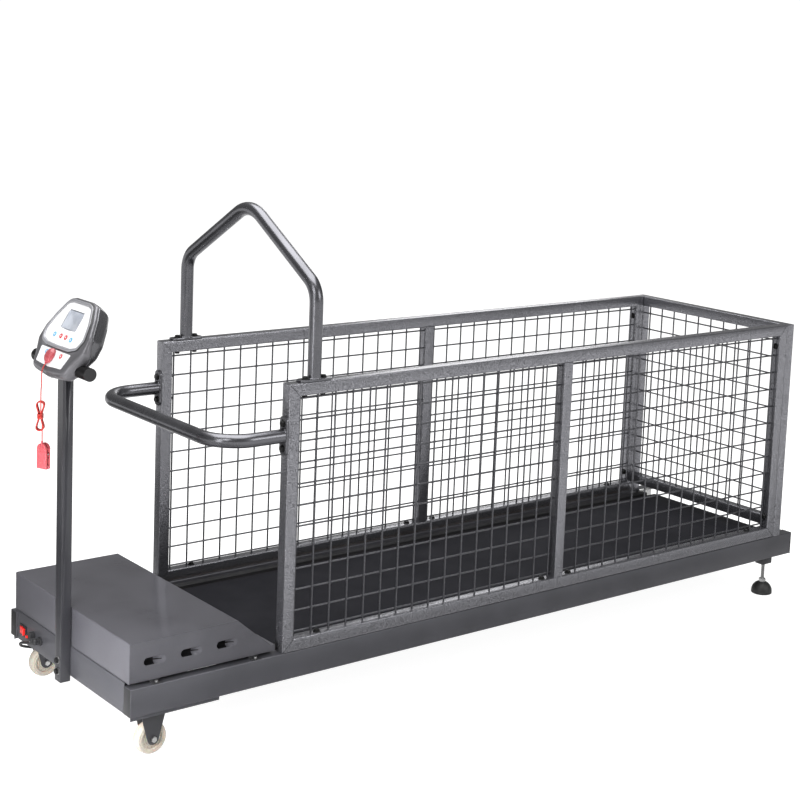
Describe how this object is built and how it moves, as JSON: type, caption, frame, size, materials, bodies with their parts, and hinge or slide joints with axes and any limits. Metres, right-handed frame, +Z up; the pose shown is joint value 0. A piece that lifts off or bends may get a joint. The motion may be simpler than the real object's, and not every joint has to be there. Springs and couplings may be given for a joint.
{
  "type": "dog treadmill",
  "caption": "Caged dog treadmill: running belt between wire mesh side panels, hooded motor drive, tow arch, guard bar and a console on a post with a safety key.",
  "frame": {"origin": "on the floor, under the middle of the whole object", "axes": "+X along the running belt towards the rear panel, +Y to the far side, +Z up; the console is at the -X end"},
  "size_m": [2.2865, 0.628, 1.1793],
  "materials": {
    "cage_paint": "hammered grey paint",
    "base_paint": "satin dark grey powder coat",
    "black_plastic": "satin black",
    "board": "sealed fibreboard",
    "belt": "fine textured black",
    "strip": "ribbed dark grey",
    "zinc": "bright zinc plate",
    "motor_paint": "black enamel",
    "wheel": "cream polyurethane",
    "foot_rubber": "matte black",
    "black_steel": "black oxide",
    "bezel": "satin grey",
    "shell": "glossy dark grey",
    "overlay": "satin white",
    "display": "pale blue grey",
    "circuit": "green laminate",
    "blue_key": "blue",
    "red_key": "glossy red",
    "red_cord": "braided red",
    "clip": "salmon red",
    "lead": "black"
  },
  "bodies": {
    "frame": {"base_rails": "base_paint", "cross_members": "base_paint", "end_caps": "black_plastic", "front_plate": "base_paint", "motor_pan": "base_paint", "hood": "base_paint", "hood_brackets": "black_plastic", "deck_board": "board", "running_belt": "belt", "side_strips": "strip", "roller_shafts": "zinc", "roller_bearings": "zinc", "roller_adjusters": "zinc", "motor_body": "motor_paint", "drive_belt": "belt", "motor_controller": "base_paint", "floor_brackets": "base_paint", "caster_axles": "zinc", "near_panel_frame": "cage_paint", "far_panel_frame": "cage_paint", "rear_panel_frame": "cage_paint", "near_panel_mesh": "cage_paint", "far_panel_mesh": "cage_paint", "rear_panel_mesh": "cage_paint", "tow_arch": "cage_paint", "guard_bar": "cage_paint", "frame_bolts": "black_steel", "zinc_fasteners": "zinc", "console_post": "base_paint", "grip_bar": "black_steel", "console_back": "shell", "console_bezel": "bezel", "console_overlays": "overlay", "lcd_panel": "display", "console_board": "circuit", "switch_housing": "black_plastic", "cord_gland": "black_plastic", "power_cord": "lead", "cord_coil": "lead", "plug": "black_plastic"},
    "front_roller": {"front_roller": "zinc"},
    "rear_roller": {"rear_roller": "zinc"},
    "motor_rotor": {"motor_rotor": "zinc"},
    "near_wheel": {"near_wheel": "wheel"},
    "far_wheel": {"far_wheel": "wheel"},
    "near_foot": {"near_foot": "foot_rubber"},
    "far_foot": {"far_foot": "foot_rubber"},
    "button_upper_1": {"button_upper_1": "blue_key"},
    "button_upper_2": {"button_upper_2": "red_key"},
    "button_upper_3": {"button_upper_3": "red_key"},
    "button_upper_4": {"button_upper_4": "blue_key"},
    "button_lower_1": {"button_lower_1": "blue_key"},
    "button_lower_2": {"button_lower_2": "red_key"},
    "reset_button": {"reset_button": "red_key"},
    "rocker": {"rocker": "red_key"},
    "safety_key": {"safety_key": "red_key", "lanyard": "red_cord", "lanyard_hank": "red_cord", "clip_body": "clip"},
    "clip_lever": {"clip_lever": "clip"}
  },
  "joints": [
    {"name": "front_roller_turn", "type": "hinge", "parent": "frame", "child": "front_roller", "pos_m": [-0.75587, 0, 0.1387], "axis": [0, 1, 0], "continuous": true},
    {"name": "rear_roller_turn", "type": "hinge", "parent": "frame", "child": "rear_roller", "pos_m": [1.09913, 0, 0.1387], "axis": [0, 1, 0], "continuous": true},
    {"name": "motor_turn", "type": "hinge", "parent": "frame", "child": "motor_rotor", "pos_m": [-0.93087, 0, 0.183], "axis": [0, 1, 0], "continuous": true},
    {"name": "near_wheel_roll", "type": "hinge", "parent": "frame", "child": "near_wheel", "pos_m": [-1.00087, -0.262, 0.0375], "axis": [0, 1, 0], "continuous": true},
    {"name": "far_wheel_roll", "type": "hinge", "parent": "frame", "child": "far_wheel", "pos_m": [-1.00087, 0.262, 0.0375], "axis": [0, 1, 0], "continuous": true},
    {"name": "near_foot_height", "type": "slide", "parent": "frame", "child": "near_foot", "axis": [0, 0, 1], "range_m": [-0.012, 0.025]},
    {"name": "far_foot_height", "type": "slide", "parent": "frame", "child": "far_foot", "axis": [0, 0, 1], "range_m": [-0.012, 0.025]},
    {"name": "button_upper_1_press", "type": "slide", "parent": "frame", "child": "button_upper_1", "axis": [0.848, 0, -0.5299], "range_m": [0, 0.0008], "stiffness_N_per_m": 600, "springref_m": -0.001},
    {"name": "button_upper_2_press", "type": "slide", "parent": "frame", "child": "button_upper_2", "axis": [0.848, 0, -0.5299], "range_m": [0, 0.0008], "stiffness_N_per_m": 600, "springref_m": -0.001},
    {"name": "button_upper_3_press", "type": "slide", "parent": "frame", "child": "button_upper_3", "axis": [0.848, 0, -0.5299], "range_m": [0, 0.0008], "stiffness_N_per_m": 600, "springref_m": -0.001},
    {"name": "button_upper_4_press", "type": "slide", "parent": "frame", "child": "button_upper_4", "axis": [0.848, 0, -0.5299], "range_m": [0, 0.0008], "stiffness_N_per_m": 600, "springref_m": -0.001},
    {"name": "button_lower_1_press", "type": "slide", "parent": "frame", "child": "button_lower_1", "axis": [0.848, 0, -0.5299], "range_m": [0, 0.0008], "stiffness_N_per_m": 600, "springref_m": -0.001},
    {"name": "button_lower_2_press", "type": "slide", "parent": "frame", "child": "button_lower_2", "axis": [0.848, 0, -0.5299], "range_m": [0, 0.0008], "stiffness_N_per_m": 600, "springref_m": -0.001},
    {"name": "reset_press", "type": "slide", "parent": "frame", "child": "reset_button", "axis": [1, 0, 0], "range_m": [0, 0.002], "stiffness_N_per_m": 400, "springref_m": -0.001},
    {"name": "rocker_flip", "type": "hinge", "parent": "frame", "child": "rocker", "pos_m": [-1.07067, 0.232, 0.137], "axis": [0, 0, 1], "range_deg": [0, 16]},
    {"name": "safety_key_pull", "type": "slide", "parent": "frame", "child": "safety_key", "axis": [-0.848, 0, 0.5299], "range_m": [0, 0.03]},
    {"name": "clip_open", "type": "hinge", "parent": "safety_key", "child": "clip_lever", "pos_m": [-1.13082, 0.00583, 0.63147], "axis": [0.3746, -0.9272, 0], "range_deg": [0, 10], "stiffness_Nm_per_rad": 0.3, "springref_deg": -5.73}
  ],
  "couplings": [
    {"joint": "rear_roller_turn", "follows": "front_roller_turn", "ratio": 1},
    {"joint": "motor_turn", "follows": "front_roller_turn", "ratio": 2}
  ]
}
